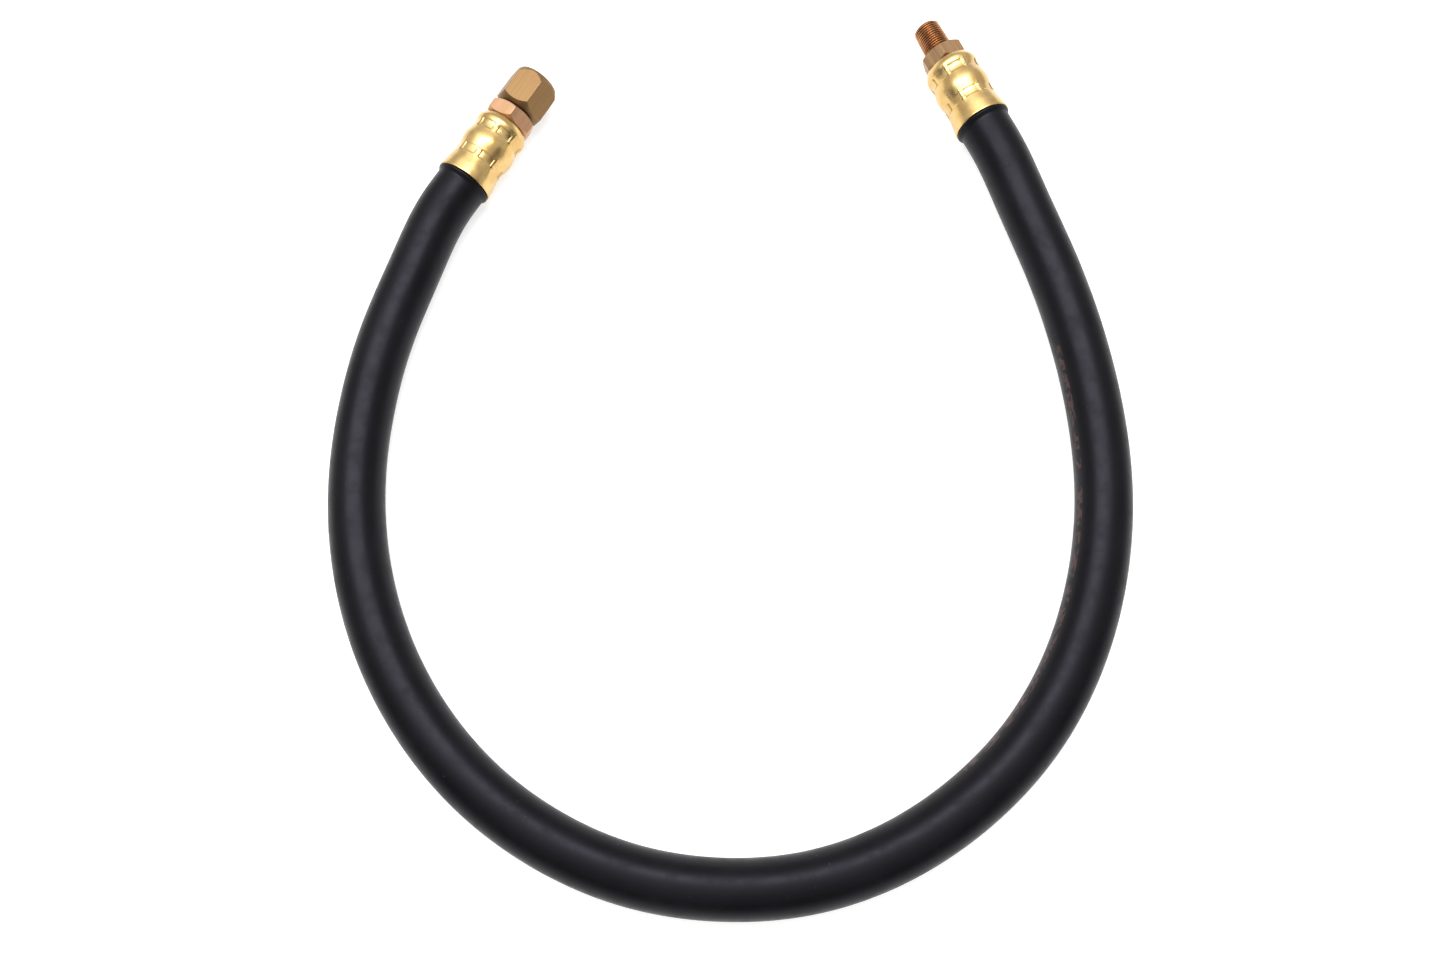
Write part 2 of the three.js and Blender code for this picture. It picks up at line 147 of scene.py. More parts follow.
def make_camera():
    """Looks down steeply at the U from beyond the bend, with a slight roll."""
    data = bpy.data.cameras.new("camera")
    data.lens = CAMERA_LENS
    data.sensor_width = 36
    data.clip_start = 0.01
    camera = bpy.data.objects.new("camera", data)
    bpy.context.scene.collection.objects.link(camera)
    back = Vector((0, -math.cos(CAMERA_ELEVATION), math.sin(CAMERA_ELEVATION)))
    tilt = Matrix.Rotation(math.pi / 2 - CAMERA_ELEVATION, 4, "X")
    roll = Matrix.Rotation(CAMERA_ROLL, 4, "Z")
    camera.matrix_world = Matrix.Translation(CAMERA_TARGET + back * CAMERA_DISTANCE) @ tilt @ roll
    bpy.context.scene.camera = camera


make_camera()

# ---- Mesh making --------------------------------------------------------------------------


def skin(name, rings, around, along, closed):
    """A mesh from rings of points, an array of rings x columns x 3. Its UV map holds metres round
    and metres along. closed joins the last ring to the first; otherwise each end gets a cap."""
    count, columns = rings.shape[:2]
    mesh = bpy.data.meshes.new(name)
    rows = count if closed else count - 1
    faces, uvs = [], []
    for i in range(rows):
        for j in range(columns):
            k = (j + 1) % columns
            n = (i + 1) % count
            faces.append((i * columns + j, i * columns + k, n * columns + k, n * columns + j))
            u0, u1 = around[i] * j / columns, around[i] * (j + 1) / columns
            v0, v1 = along[i], along[i + 1]
            uvs += [(u0, v0), (u1, v0), (u1, v1), (u0, v1)]
    if not closed:
        last = (count - 1) * columns
        faces.append(tuple(range(columns - 1, -1, -1)))
        faces.append(tuple(last + j for j in range(columns)))
        uvs += [(0, along[0])] * columns + [(0, along[-1])] * columns
    mesh.from_pydata(rings.reshape(-1, 3).tolist(), [], faces)
    layer = mesh.uv_layers.new(name="surface")
    layer.data.foreach_set("uv", np.array(uvs, np.float32).ravel())
    mesh.polygons.foreach_set("use_smooth", [True] * len(mesh.polygons))
    mesh.update()
    return mesh


def as_object(mesh, material):
    """A new object in the scene with the mesh and its material."""
    made = bpy.data.objects.new(mesh.name, mesh)
    bpy.context.scene.collection.objects.link(made)
    mesh.materials.append(material)
    return made


def applied(piece):
    """The piece with its modifiers turned into plain mesh."""
    bpy.context.view_layer.update()
    seen = piece.evaluated_get(bpy.context.evaluated_depsgraph_get())
    mesh = bpy.data.meshes.new_from_object(seen)
    mesh.name = piece.name
    piece.modifiers.clear()
    piece.data = mesh
    return piece


def node(tree, kind, inputs=(), output=0, **settings):
    """Adds a node with its settings, links or sets its inputs, and gives back one output."""
    made = tree.nodes.new(kind)
    for name, value in settings.items():
        setattr(made, name, value)
    pairs = inputs.items() if isinstance(inputs, dict) else enumerate(inputs)
    for key, value in pairs:
        if isinstance(value, bpy.types.NodeSocket):
            tree.links.new(value, made.inputs[key])
        else:
            made.inputs[key].default_value = value
    return made.outputs[output]


# Settings used again and again. RAMP's inputs are a value, its low and high ends and the results
# there, 0 and 1 if not given. MIX goes from colour 6 to colour 7 by factor 0.
RAMP = {"kind": "ShaderNodeMapRange", "interpolation_type": "SMOOTHSTEP"}
MIX = {"kind": "ShaderNodeMix", "output": 2, "data_type": "RGBA"}

# ---- Colour -------------------------------------------------------------------------------


def linear(hex_colour):
    """An sRGB hex colour as linear red, green, blue and alpha."""
    parts = [int(hex_colour[i : i + 2], 16) / 255 for i in (1, 3, 5)]
    return (*[p / 12.92 if p <= 0.04045 else ((p + 0.055) / 1.055) ** 2.4 for p in parts], 1)


# ---- Materials ----------------------------------------------------------------------------


def new_material(name):
    """An empty material's tree with a Principled shader on its output, and that shader."""
    material = bpy.data.materials.new(name)
    material.use_nodes = True
    tree = material.node_tree
    tree.nodes.clear()
    shader = tree.nodes.new("ShaderNodeBsdfPrincipled")
    output = tree.nodes.new("ShaderNodeOutputMaterial")
    tree.links.new(shader.outputs[0], output.inputs[0])
    return material, tree, shader


def surface_pattern(tree, round_size, along_size, detail=3, seed=0.0):
    """Noise on the surface's own map, in cells of a real size round and along, in metres."""
    uv = node(tree, "ShaderNodeUVMap", uv_map="surface")
    scaled = node(tree, "ShaderNodeMapping", {
        "Vector": uv,
        "Location": (seed, seed, seed),
        "Scale": (1 / round_size, 1 / along_size, 1),
    })
    return node(tree, "ShaderNodeTexNoise", {"Vector": scaled, "Scale": 1, "Detail": detail})


def solid_pattern(tree, size, detail=3, roughness=0.5):
    """Noise through the object, in cells of a real size in metres."""
    place = node(tree, "ShaderNodeTexCoord", output="Object")
    return node(tree, "ShaderNodeTexNoise", {
        "Vector": place, "Scale": 1 / size, "Detail": detail, "Roughness": roughness,
    })


def finish(tree, shader, colour, roughness, height, strength, distance):
    """Puts a colour, a roughness and small relief, of a real height in metres, on the shader."""
    relief = node(tree, "ShaderNodeBump", {
        "Height": height, "Strength": strength, "Distance": distance,
    })
    for name, socket in (("Base Color", colour), ("Roughness", roughness), ("Normal", relief)):
        tree.links.new(socket, shader.inputs[name])


STAMP_STRETCH = (0.43, 0.61)  # metres along the hose from the swivel end
STAMP_PLACE = 0.808  # turn round the hose from its top, low on the inside of the U
STAMP_HEIGHT = 2.6 * MM
STAMP_STRENGTH = 0.8


def worn_stamp(tree):
    """A mask for what is left of a line of ink dabs along the hose, worn past reading."""
    uv = node(tree, "ShaderNodeUVMap", uv_map="surface")
    apart = node(tree, "ShaderNodeSeparateXYZ", [uv]).node.outputs
    middle = STAMP_PLACE * math.tau * HOSE_RADIUS
    off = node(tree, "ShaderNodeMath", [apart["X"], middle], operation="SUBTRACT")
    off = node(tree, "ShaderNodeMath", [off], operation="ABSOLUTE")
    band = node(tree, inputs=[off, STAMP_HEIGHT * 0.6, STAMP_HEIGHT * 0.4], **RAMP)
    start, end = STAMP_STRETCH
    begun = node(tree, inputs=[apart["Y"], start, start + 0.01], **RAMP)
    going = node(tree, inputs=[apart["Y"], end, end - 0.01], **RAMP)
    dabs = surface_pattern(tree, 1.4 * MM, 2.2 * MM, detail=4, seed=5.3)
    dabs = node(tree, inputs=[dabs, 0.42, 0.56], **RAMP)
    groups = surface_pattern(tree, 60 * MM, 7 * MM, detail=1, seed=2.9)
    groups = node(tree, inputs=[groups, 0.33, 0.42], **RAMP)
    mask = node(tree, "ShaderNodeMath", [band, begun], operation="MULTIPLY")
    for part in (going, dabs, groups, STAMP_STRENGTH):
        mask = node(tree, "ShaderNodeMath", [mask, part], operation="MULTIPLY")
    return mask


def extruded_rubber():
    """Black nitrile cover, extruded and cured: a dull black with a broad soft sheen, faint lines
    along its length, greyer scuffed patches, and specks of chalky dust. The lines, the grain and
    the specks are drawn coarser than real ones, so that they show."""
    material, tree, shader = new_material("extruded_nitrile_rubber")
    patches = solid_pattern(tree, 18 * MM, detail=4)
    tone = node(tree, inputs=[patches, 0.35, 0.7], **RAMP)
    colour = node(tree, inputs={0: tone, 6: linear("#070708"), 7: linear("#0C0B0D")}, **MIX)
    colour = node(tree, inputs={0: worn_stamp(tree), 6: colour, 7: linear("#46302B")}, **MIX)
    dust = solid_pattern(tree, 0.9 * MM, detail=2, roughness=0.7)
    dust = node(tree, inputs=[dust, 0.72, 0.78, 0, 0.35], **RAMP)
    colour = node(tree, inputs={0: dust, 6: colour, 7: linear("#5E5B62")}, **MIX)
    scuffs = solid_pattern(tree, 6 * MM, detail=6, roughness=0.65)
    scuffs = node(tree, inputs=[scuffs, 0.4, 0.7, 0.35, 0.46], **RAMP)
    shader.inputs["Specular IOR Level"].default_value = 0.15
    shader.inputs["Specular Tint"].default_value = linear("#EEE8FF")
    lines = surface_pattern(tree, 0.5 * MM, 14 * MM)
    grain = solid_pattern(tree, 0.35 * MM, roughness=0.6)
    height = node(tree, "ShaderNodeMath", [lines, grain], operation="ADD")
    finish(tree, shader, colour, scuffs, height, 0.25, 0.03 * MM)
    return material


def polished_brass():
    """Drawn brass tube, crimped and polished: bright yellow, softly blurred reflections, with a
    brown film left in the crimp's marks."""
    material, tree, shader = new_material("polished_drawn_brass")
    shader.inputs["Metallic"].default_value = 1
    mark = node(tree, "ShaderNodeAttribute", output="Fac", attribute_name="crimp_mark")
    tone = node(tree, inputs=[solid_pattern(tree, 5 * MM, detail=4), 0.3, 0.7], **RAMP)
    colour = node(tree, inputs={0: tone, 6: linear("#D3B47A"), 7: linear("#C4A267")}, **MIX)
    film = node(tree, "ShaderNodeMath", [mark, 0.75], operation="MULTIPLY")
    colour = node(tree, inputs={0: film, 6: colour, 7: linear("#6E5426")}, **MIX)
    haze = solid_pattern(tree, 2.2 * MM, detail=4)
    rough = node(tree, inputs=[haze, 0.3, 0.75, 0.24, 0.33], **RAMP)
    ripple = solid_pattern(tree, 2.6 * MM, detail=2)
    finish(tree, shader, colour, rough, ripple, 0.3, 0.05 * MM)
    return material


def machined_brass(name, dark, light, blush):
    """Drawn hexagonal brass bar with turned ends: duller and pinker, with draw lines along the
    flats, tool rings on the turned faces, small dark nicks, and painted shade in the gap by the
    nut.
    The lines and the rings are drawn coarser than real ones, so that they show."""
    material, tree, shader = new_material(name)
    shader.inputs["Metallic"].default_value = 1
    turned_face = node(tree, "ShaderNodeAttribute", output="Fac", attribute_name="turned_face")
    draw = surface_pattern(tree, 0.3 * MM, 24 * MM, detail=4)
    rings = surface_pattern(tree, 30 * MM, 0.16 * MM, detail=2, seed=3.7)
    lines = node(tree, "ShaderNodeMix", {0: turned_face, 2: draw, 3: rings}, 0, data_type="FLOAT")
    tone = node(tree, inputs=[lines, 0.3, 0.7], **RAMP)
    colour = node(tree, inputs={0: tone, 6: linear(dark), 7: linear(light)}, **MIX)
    pink = node(tree, inputs=[solid_pattern(tree, 9 * MM), 0.4, 0.65, 0, 0.5], **RAMP)
    colour = node(tree, inputs={0: pink, 6: colour, 7: linear(blush)}, **MIX)
    nicks = surface_pattern(tree, 0.5 * MM, 2.2 * MM, detail=5, seed=9.1)
    nicks = node(tree, inputs=[nicks, 0.68, 0.74, 0, 0.4], **RAMP)
    colour = node(tree, inputs={0: nicks, 6: colour, 7: linear("#4E3720")}, **MIX)
    # Painted shade: faces in the narrow gap between the swivel hexagon and the nut are darkened to
    # near black.
    grime = node(tree, "ShaderNodeAttribute", output="Fac", attribute_name="grime")
    colour = node(tree, inputs={0: grime, 6: colour, 7: linear("#20160D")}, **MIX)
    rough = node(tree, inputs=[lines, 0.3, 0.7, 0.38, 0.6], **RAMP)
    finish(tree, shader, colour, rough, lines, 0.55, 0.03 * MM)
    return material


def cut_thread_brass():
    """Brass that a die has cut: coppery, lighter on the crests and darker in the roots, as painted
    highlight and painted shade.
    """
    material, tree, shader = new_material("die_cut_brass")
    shader.inputs["Metallic"].default_value = 1
    crest = node(tree, "ShaderNodeAttribute", output="Fac", attribute_name="thread_crest")
    # Painted highlight and shade: the thread's crests are coloured light and its roots dark.
    tone = node(tree, inputs=[crest, 0.1, 0.9], **RAMP)
    colour = node(tree, inputs={0: tone, 6: linear("#6E4626"), 7: linear("#C4946A")}, **MIX)
    stain = node(tree, inputs=[solid_pattern(tree, 3 * MM, detail=4), 0.4, 0.7, 0, 0.6], **RAMP)
    colour = node(tree, inputs={0: stain, 6: colour, 7: linear("#865632")}, **MIX)
    rough = node(tree, inputs=[solid_pattern(tree, 0.6 * MM), 0.3, 0.7, 0.26, 0.42], **RAMP)
    scratches = surface_pattern(tree, 2 * MM, 0.1 * MM, detail=2)
    finish(tree, shader, colour, rough, scratches, 0.25, 0.02 * MM)
    return material


def liner_rubber():
    """Extruded inner rubber, unpolished: flat black with a fine grain."""
    material, tree, shader = new_material("extruded_liner_rubber")
    tone = node(tree, inputs=[solid_pattern(tree, 4 * MM, detail=4), 0.3, 0.7], **RAMP)
    colour = node(tree, inputs={0: tone, 6: linear("#161616"), 7: linear("#232223")}, **MIX)
    rough = node(tree, inputs=[solid_pattern(tree, 1 * MM), 0.3, 0.7, 0.5, 0.68], **RAMP)
    finish(tree, shader, colour, rough, solid_pattern(tree, 0.3 * MM), 0.4, 0.04 * MM)
    return material


YARN_WIDTH = 1.3 * MM
YARN_LEAN = math.radians(54)  # from the hose's length


def braided_yarn():
    """Undyed textile yarn, braided: two sets of flat yarns cross at a steep angle; their ridges are
    painted lighter and the hollows between them darker, as painted highlight and painted shade."""
    material, tree, shader = new_material("braided_textile_yarn")
    uv = node(tree, "ShaderNodeUVMap", uv_map="surface")
    sets = []
    for lean in (1, -1):
        turned_map = node(tree, "ShaderNodeMapping", {
            "Vector": uv, "Rotation": (0, 0, lean * YARN_LEAN),
        })
        sets.append(node(tree, "ShaderNodeTexWave", {
            "Vector": turned_map, "Scale": 0.5 / YARN_WIDTH, "Distortion": 0.3,
        }, output="Fac"))
    over = node(tree, "ShaderNodeMath", sets, operation="MAXIMUM")
    # Painted highlight and shade: dark in the hollows between yarns, light on their ridges.
    colour = node(tree, inputs={0: over, 6: linear("#6F6350"), 7: linear("#CDBF9E")}, **MIX)
    tree.links.new(colour, shader.inputs["Base Color"])
    shader.inputs["Roughness"].default_value = 0.85
    shader.inputs["Sheen Weight"].default_value = 0.3
    bump = node(tree, "ShaderNodeBump", {"Height": over, "Strength": 0.7, "Distance": 0.1 * MM})
    tree.links.new(bump, shader.inputs["Normal"])
    return material


def spring_steel():
    """Drawn spring wire: grey, finely lined along its length."""
    material, tree, shader = new_material("drawn_spring_wire")
    shader.inputs["Metallic"].default_value = 1
    lines = surface_pattern(tree, 0.1 * MM, 5 * MM)
    tone = node(tree, inputs=[lines, 0.3, 0.7], **RAMP)
    colour = node(tree, inputs={0: tone, 6: linear("#8E8B86"), 7: linear("#B9B6B0")}, **MIX)
    rough = node(tree, inputs=[lines, 0.3, 0.7, 0.28, 0.42], **RAMP)
    finish(tree, shader, colour, rough, lines, 0.3, 0.02 * MM)
    return material


RUBBER = extruded_rubber()
POLISHED_BRASS = polished_brass()
SWIVEL_BRASS = machined_brass("machined_brass_pink", "#B9916C", "#C69E7A", "#C09474")
SPIGOT_BRASS = machined_brass("machined_brass_dull", "#977859", "#AE8F6A", "#A68261")
NUT_BRASS = machined_brass("machined_brass_brown", "#7C6142", "#93764F", "#8A694B")
THREAD_BRASS = cut_thread_brass()
LINER = liner_rubber()
YARN = braided_yarn()
SPRING = spring_steel()

# ---- Hose ---------------------------------------------------------------------------------

# The free hose's middle, from the swivel end round the bend to the male end.
LEAD = 12 * MM  # straight hose outside each mouth
ROUTE = [
    (-0.1079, 0.0727, 0.0100),
    (-0.1181, 0.0470, 0.0097),
    (-0.1252, 0.0192, HOSE_RADIUS),
    (-0.1281, -0.0086, HOSE_RADIUS),
    (-0.1260, -0.0376, HOSE_RADIUS),
    (-0.1186, -0.0649, HOSE_RADIUS),
    (-0.1059, -0.0902, HOSE_RADIUS),
    (-0.0881, -0.1125, HOSE_RADIUS),
    (-0.0661, -0.1301, HOSE_RADIUS),
    (-0.0404, -0.1427, HOSE_RADIUS),
    (-0.0124, -0.1489, HOSE_RADIUS),
    (0.0166, -0.1487, HOSE_RADIUS),
    (0.0447, -0.1412, HOSE_RADIUS),
    (0.0700, -0.1274, HOSE_RADIUS),
    (0.0917, -0.1085, HOSE_RADIUS),
    (0.1085, -0.0849, HOSE_RADIUS),
    (0.1200, -0.0584, HOSE_RADIUS),
    (0.1264, -0.0305, HOSE_RADIUS),
    (0.1280, -0.0017, HOSE_RADIUS),
    (0.1260, 0.0268, HOSE_RADIUS),
    (0.1210, 0.0548, 0.0097),
    (0.1139, 0.0823, 0.0100),
]
SPLINE_POINTS = 6000


def smooth_line(points):
    """Many points on the natural cubic spline through a few, and how far along it each one is."""
    points = np.array(points, float)
    t = np.concatenate([[0], np.cumsum(np.linalg.norm(np.diff(points, axis=0), axis=1))])
    h = np.diff(t)
    count = len(points)
    matrix, right = np.eye(count), np.zeros((count, 3))
    for i in range(1, count - 1):
        matrix[i, i - 1 : i + 2] = h[i - 1], 2 * (h[i - 1] + h[i]), h[i]
        slopes = np.diff(points[i - 1 : i + 2], axis=0) / h[i - 1 : i + 1, None]
        right[i] = 6 * (slopes[1] - slopes[0])
    bend = np.linalg.solve(matrix, right)
    fine = np.linspace(0, t[-1], SPLINE_POINTS)
    i = np.clip(np.searchsorted(t, fine, "right") - 1, 0, count - 2)
    a, b = ((t[i + 1] - fine) / h[i])[:, None], ((fine - t[i]) / h[i])[:, None]
    sag = ((a**3 - a) * bend[i] + (b**3 - b) * bend[i + 1]) * (h[i] ** 2)[:, None] / 6
    line = a * points[i] + b * points[i + 1] + sag
    run = np.concatenate([[0], np.cumsum(np.linalg.norm(np.diff(line, axis=0), axis=1))])
    return line, run


HOSE_LINE, HOSE_RUN = smooth_line([
    swivel_mouth + swivel_axis * HOSE_END,
    swivel_mouth,
    swivel_mouth - swivel_axis * LEAD,
    *ROUTE,
    male_mouth - male_axis * LEAD,
    male_mouth,
    male_mouth + male_axis * HOSE_END,
])
HOSE_LENGTH = float(HOSE_RUN[-1])


def at_run(run):
    """The points of the hose's line at distances along it."""
    return np.stack([np.interp(run, HOSE_RUN, HOSE_LINE[:, k]) for k in range(3)], axis=1)


def hose_rings(run, radius, sides):
    """Rings round the hose's line, counted from its top towards the outside of the U."""
    centres = at_run(run)
    nudge = 0.2 * MM
    ahead = at_run(run + nudge) - at_run(run - nudge)
    ahead /= np.linalg.norm(ahead, axis=1)[:, None]
    side = np.cross(ahead, (0, 0, 1.0))
    side /= np.linalg.norm(side, axis=1)[:, None]
    top = np.cross(side, ahead)
    angle = np.arange(sides) * math.tau / sides
    spokes = (
        top[:, None] * np.cos(angle)[None, :, None] + side[:, None] * np.sin(angle)[None, :, None]
    )
    return centres, centres[:, None] + spokes * np.asarray(radius)[:, None, None]


def crimp_radius(place):
    """The ferrule's outer radius at places along it, on a smooth line through CRIMP."""
    marks = np.array(CRIMP, float) * MM
    slope = np.gradient(marks[:, 1], marks[:, 0])
    i = np.clip(np.searchsorted(marks[:, 0], place, "right") - 1, 0, len(marks) - 2)
    width = marks[i + 1, 0] - marks[i, 0]
    s = (np.asarray(place) - marks[i, 0]) / width
    return (
        (2 * s**3 - 3 * s**2 + 1) * marks[i, 1]
        + (s**3 - 2 * s**2 + s) * width * slope[i]
        + (3 * s**2 - 2 * s**3) * marks[i + 1, 1]
        + (s**3 - s**2) * width * slope[i + 1]
    )


def cover_radius(outside):
    """The cover's radius at a distance outside the nearer mouth, negative inside the ferrule."""
    gap = 0.1 * MM
    inside = crimp_radius(np.clip(-outside, 0, FERRULE_LENGTH)) - FERRULE_WALL - gap
    lip_places, lip_radii = np.array(LIP).T
    lip = np.interp(outside / MM, lip_places, lip_radii) * MM
    return np.where(outside < 0, np.minimum(inside, lip_radii[0] * MM), lip)


def hose_stations():
    """Runs along the hose: close together at the lips, wider elsewhere."""
    lip_start, lip_end, free_start, free_end = -1 * MM, 3.4 * MM, 4.2 * MM, 3.6 * MM
    lip_step, hidden_step, free_step = 0.12 * MM, 0.6 * MM, 1.5 * MM
    hidden = np.arange(0, HOSE_END + lip_start, hidden_step)
    near = np.concatenate([hidden, HOSE_END + np.arange(lip_start, lip_end, lip_step)])
    free = np.arange(HOSE_END + free_start, HOSE_LENGTH - HOSE_END - free_end, free_step)
    return np.concatenate([near, free, HOSE_LENGTH - near[::-1]])


def make_hose():
    """The cover, a tube with a lip at each mouth, and the middles of its rings."""
    run = hose_stations()
    outside = np.minimum(run, HOSE_LENGTH - run) - HOSE_END
    radius = cover_radius(outside)
    centres, outer = hose_rings(run, radius, HOSE_SIDES)
    inner = hose_rings(run, np.full(len(run), COVER_INSIDE), HOSE_SIDES)[1]
    rings = np.concatenate([outer, inner[::-1]])
    around = np.full(len(rings), math.tau * HOSE_RADIUS)
    along = np.concatenate([run, run[::-1], run[:1]])
    mesh = skin("rubber_hose_cover", rings, around, along, True)
    hose = as_object(mesh, RUBBER)
    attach(hose, "hose")
    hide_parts("hose_cover")
    return hose, centres


hose, hose_centres = make_hose()


def make_layer(node_name, material):
    """One of the hose's hidden layers, a plain tube."""
    inner, outer = LAYERS[node_name]
    run = np.arange(0, HOSE_LENGTH, LAYER_STEP)
    outer_rings = hose_rings(run, np.full(len(run), outer), LAYER_SIDES)[1]
    inner_rings = hose_rings(run, np.full(len(run), inner), LAYER_SIDES)[1]
    rings = np.concatenate([outer_rings, inner_rings[::-1]])
    around = np.full(len(rings), math.tau * outer)
    along = np.concatenate([run, run[::-1], run[:1]])
    mesh = skin("smooth_" + node_name, rings, around, along, True)
    layer = as_object(mesh, material)
    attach(layer, "hose")
    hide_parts(node_name)


make_layer("inner_tube", LINER)
make_layer("inner_braid", YARN)
make_layer("friction_layer", LINER)
make_layer("outer_braid", YARN)

# ---- Turned and hexagonal pieces ----------------------------------------------------------

MAP_RADIUS = 8 * MM  # sets the width of every turned piece's UV map


def hexagon(flats, angle):
    """A hexagon's radius at angles from one of its corners."""
    return flats / 2 / np.cos(np.mod(angle, math.pi / 3) - math.pi / 6)


def revolved(name, rows, columns, turn, material, flags=None):
    """A solid round +Y from rows of (radius, place), each one number or one for each column, going
    up the outside and back down the bore. Columns are counted from below, so that the seam is
    there. flags names point attributes, each with one value for a row."""
    angle = turn + math.pi + np.arange(columns) * math.tau / columns
    rings = np.zeros((len(rows), columns, 3))
    for i, (radius, place) in enumerate(rows):
        rings[i, :, 0] = radius * np.sin(angle)
        rings[i, :, 1] = place
        rings[i, :, 2] = radius * np.cos(angle)
    middle = rings[:, 0]
    along = np.concatenate([[0], np.cumsum(np.linalg.norm(np.diff(middle, axis=0), axis=1))])
    along = np.append(along, along[-1] + np.linalg.norm(middle[0] - middle[-1]))
    around = np.full(len(rows), math.tau * MAP_RADIUS)
    mesh = skin(name, rings, around, along, True)
    for flag, values in (flags or {}).items():
        attribute = mesh.attributes.new(flag, "FLOAT", "POINT")
        attribute.data.foreach_set("value", np.repeat(values, columns).astype(np.float32))
    return as_object(mesh, material)


def flagged(rows, flags, new_rows, **values):
    """Adds rows with their flags' values, 0 for those not given."""
    rows += new_rows
    for name, column in flags.items():
        column += [values.get(name, 0)] * len(new_rows)


def chamfered_hex(flats, columns, start, end, rear, front):
    """Rows up a hexagonal bar whose ends are chamfered by cones. rear and front give the flat
    face's radius and the chamfer's length at the corners."""
    angle = np.arange(columns) * math.tau / columns
    radius = hexagon(flats, angle)
    corner = flats / math.sqrt(3)
    rear_face, rear_length = rear
    front_face, front_length = front
    up = start + (radius - rear_face) / (corner - rear_face) * rear_length
    down = end - (radius - front_face) / (corner - front_face) * front_length
    return [(rear_face, start), (radius, up), (radius, down), (front_face, end)]


def bevelled(piece, width, angle):
    """The piece with its edges sharper than an angle, in degrees, rounded off."""
    bevel = piece.modifiers.new("bevel", "BEVEL")
    bevel.width = width
    bevel.segments = 2
    bevel.limit_method = "ANGLE"
    bevel.angle_limit = math.radians(angle)
    bevel.use_clamp_overlap = True
    smooth = piece.modifiers.new("normals", "WEIGHTED_NORMAL")
    smooth.keep_sharp = True
    return applied(piece)


def settled(piece, place, body, node_name):
    """Puts a finished piece in its place, on its body, in the stead of its CAD node."""
    piece.data.transform(place)
    piece.data.update()
    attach(piece, body)
    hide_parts(node_name)
    return piece


# ---- Ferrules -----------------------------------------------------------------------------

JAW_COUNT = 8
CRIMP_MARKS = {
    "press": 0.14 * MM,  # how deep a groove's floor is pressed
    "groove_width": 1.45 * MM,  # from the floor's middle to its edge
    "fin": 0.16 * MM,  # how far a fin stands up
    "fin_width": 0.8 * MM,  # from the fin's middle to its edge
    "edge": 0.25 * MM,  # the slope at the edge of a floor or fin
    "crease": 0.1 * MM,
    "crease_width": 0.7 * MM,
    "crease_start": 1.2 * MM,  # from the groove's middle
    "crease_end": 3.6 * MM,
    "uneven": 0.05 * MM,
}
UNEVEN_SIZE = 7 * MM


def new_geometry_tree(name, sizes):
    """An empty modifier tree that is given a geometry, some sizes and a material."""
    tree = bpy.data.node_groups.new(name, "GeometryNodeTree")
    tree.is_modifier = True
    kinds = {"Geometry": "Geometry", **dict.fromkeys(sizes, "Float"), "Material": "Material"}
    for socket, kind in kinds.items():
        tree.interface.new_socket(socket, in_out="INPUT", socket_type="NodeSocket" + kind)
    tree.interface.new_socket("Geometry", in_out="OUTPUT", socket_type="NodeSocketGeometry")
    return tree, tree.nodes.new("NodeGroupInput").outputs


def moved_along(tree, given, mark, value, across, amount, selection=True):
    """Ends a tree: stores a named mark, moves the points out from the axis by an amount and puts
    the material on the selected faces."""
    outward = node(tree, "ShaderNodeVectorMath", [across], operation="NORMALIZE")
    offset = node(tree, "ShaderNodeVectorMath", {0: outward, "Scale": amount}, operation="SCALE")
    marked = node(tree, "GeometryNodeStoreNamedAttribute", {
        "Geometry": given["Geometry"], "Name": mark, "Value": value,
    }, data_type="FLOAT", domain="POINT")
    moved = node(tree, "GeometryNodeSetPosition", {"Geometry": marked, "Offset": offset})
    real = node(tree, "GeometryNodeRealizeInstances", [moved])
    done = node(tree, "GeometryNodeSetMaterial", {
        "Geometry": real, "Selection": selection, "Material": given["Material"],
    })
    tree.links.new(done, tree.nodes.new("NodeGroupOutput").inputs[0])


